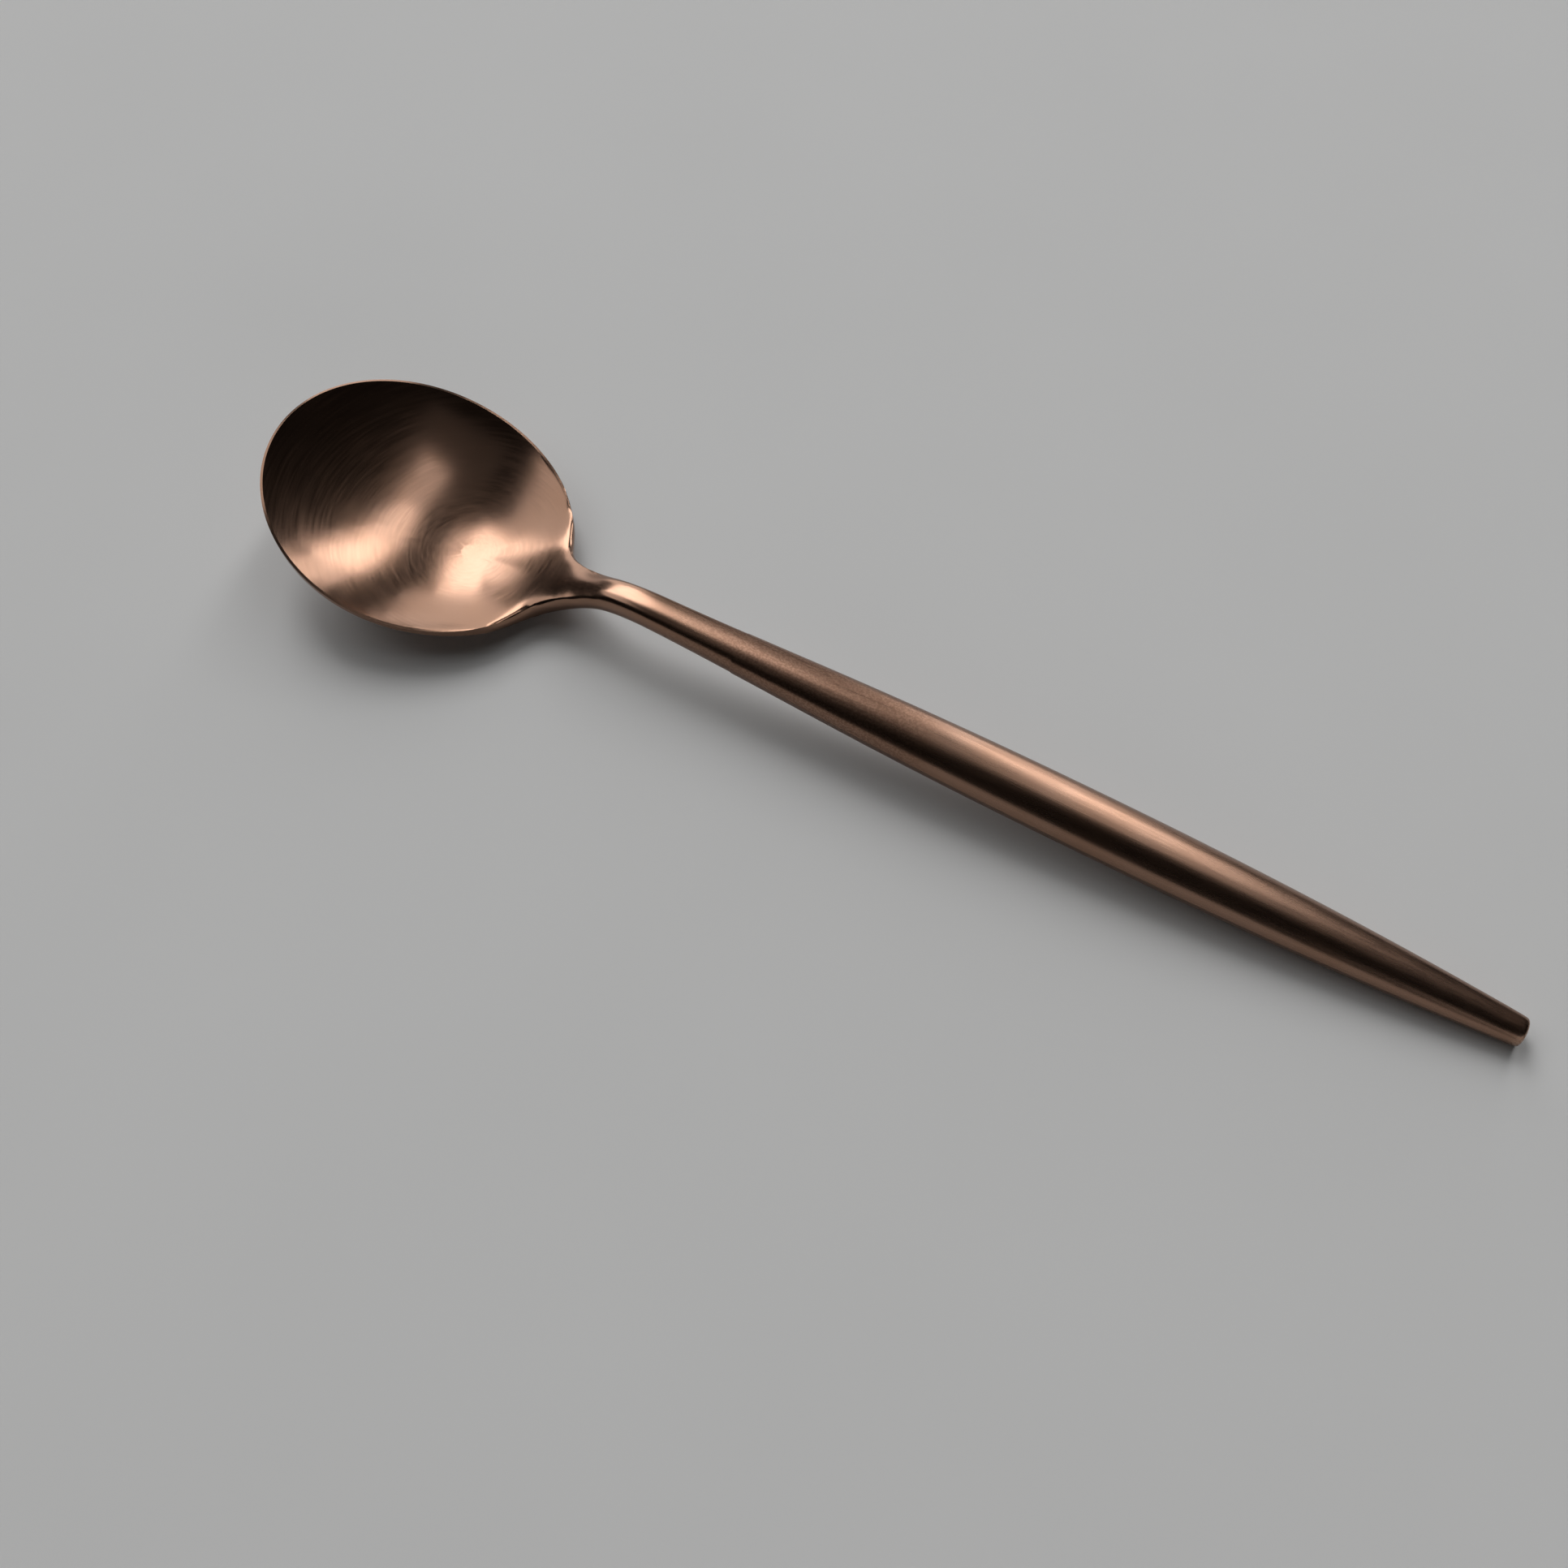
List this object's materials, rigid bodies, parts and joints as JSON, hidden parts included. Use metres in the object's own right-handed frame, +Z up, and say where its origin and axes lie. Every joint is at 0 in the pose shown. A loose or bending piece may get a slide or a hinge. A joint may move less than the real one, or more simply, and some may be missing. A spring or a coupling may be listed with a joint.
{
  "type": "teaspoon",
  "caption": "Teaspoon with a nearly round bowl, an arched neck and a straight hollow handle that swells and tapers to a blunt butt, in satin copper-bronze metal.",
  "frame": {"origin": "on the table under the middle of the spoon's length", "axes": "+X along the spoon from the front of the bowl to the butt of the handle, +Y across it, +Z up out of the bowl"},
  "size_m": [0.14, 0.03, 0.0116],
  "materials": {
    "bowl_bronze": "satin copper-bronze coating on steel, brushed in arcs",
    "upper_shell_bronze": "satin copper-bronze coating on steel, brushed lengthways",
    "lower_shell_bronze": "satin copper-bronze coating on steel, brushed lengthways",
    "plug_bronze": "satin copper-bronze coating on steel",
    "cement": "cast grey filler"
  },
  "bodies": {
    "root": {"bowl": "bowl_bronze", "handle_upper_shell": "upper_shell_bronze", "handle_lower_shell": "lower_shell_bronze", "butt_plug": "plug_bronze", "tang_cement": "cement"}
  },
  "joints": []
}
